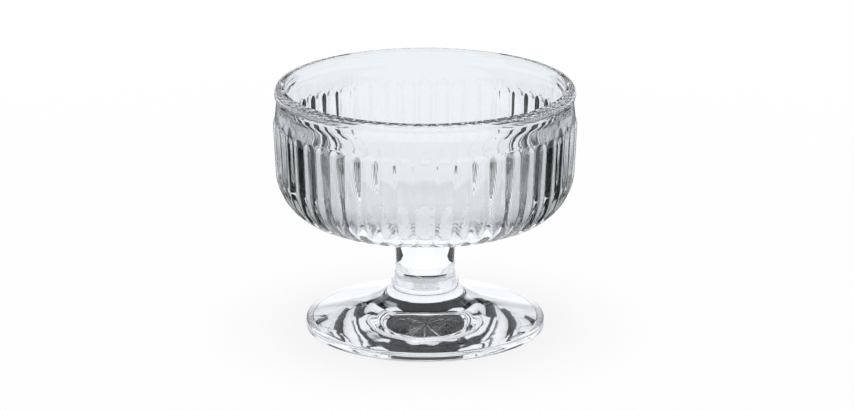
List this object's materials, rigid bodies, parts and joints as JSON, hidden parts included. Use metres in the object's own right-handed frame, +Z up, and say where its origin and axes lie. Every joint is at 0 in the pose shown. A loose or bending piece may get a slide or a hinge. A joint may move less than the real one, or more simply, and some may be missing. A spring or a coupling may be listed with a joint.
{
  "type": "ice cream coupe",
  "caption": "Clear pressed-glass dessert coupe: a wide reeded bowl with arched ribs under a plain rim, on a short solid stem and a broad flared foot.",
  "frame": {"origin": "centre of the foot's resting plane, on the axis of the glass", "axes": "+Z up along the axis of the glass, from the foot to the rim; a rib is centred on -Y, which faces the viewer"},
  "size_m": [0.101, 0.101, 0.0834],
  "materials": {
    "clear_glass": "fire-polished clear glass with a faint green cast in the thick parts"
  },
  "bodies": {
    "root": {"bowl": "clear_glass", "stem": "clear_glass", "foot": "clear_glass"}
  },
  "joints": []
}
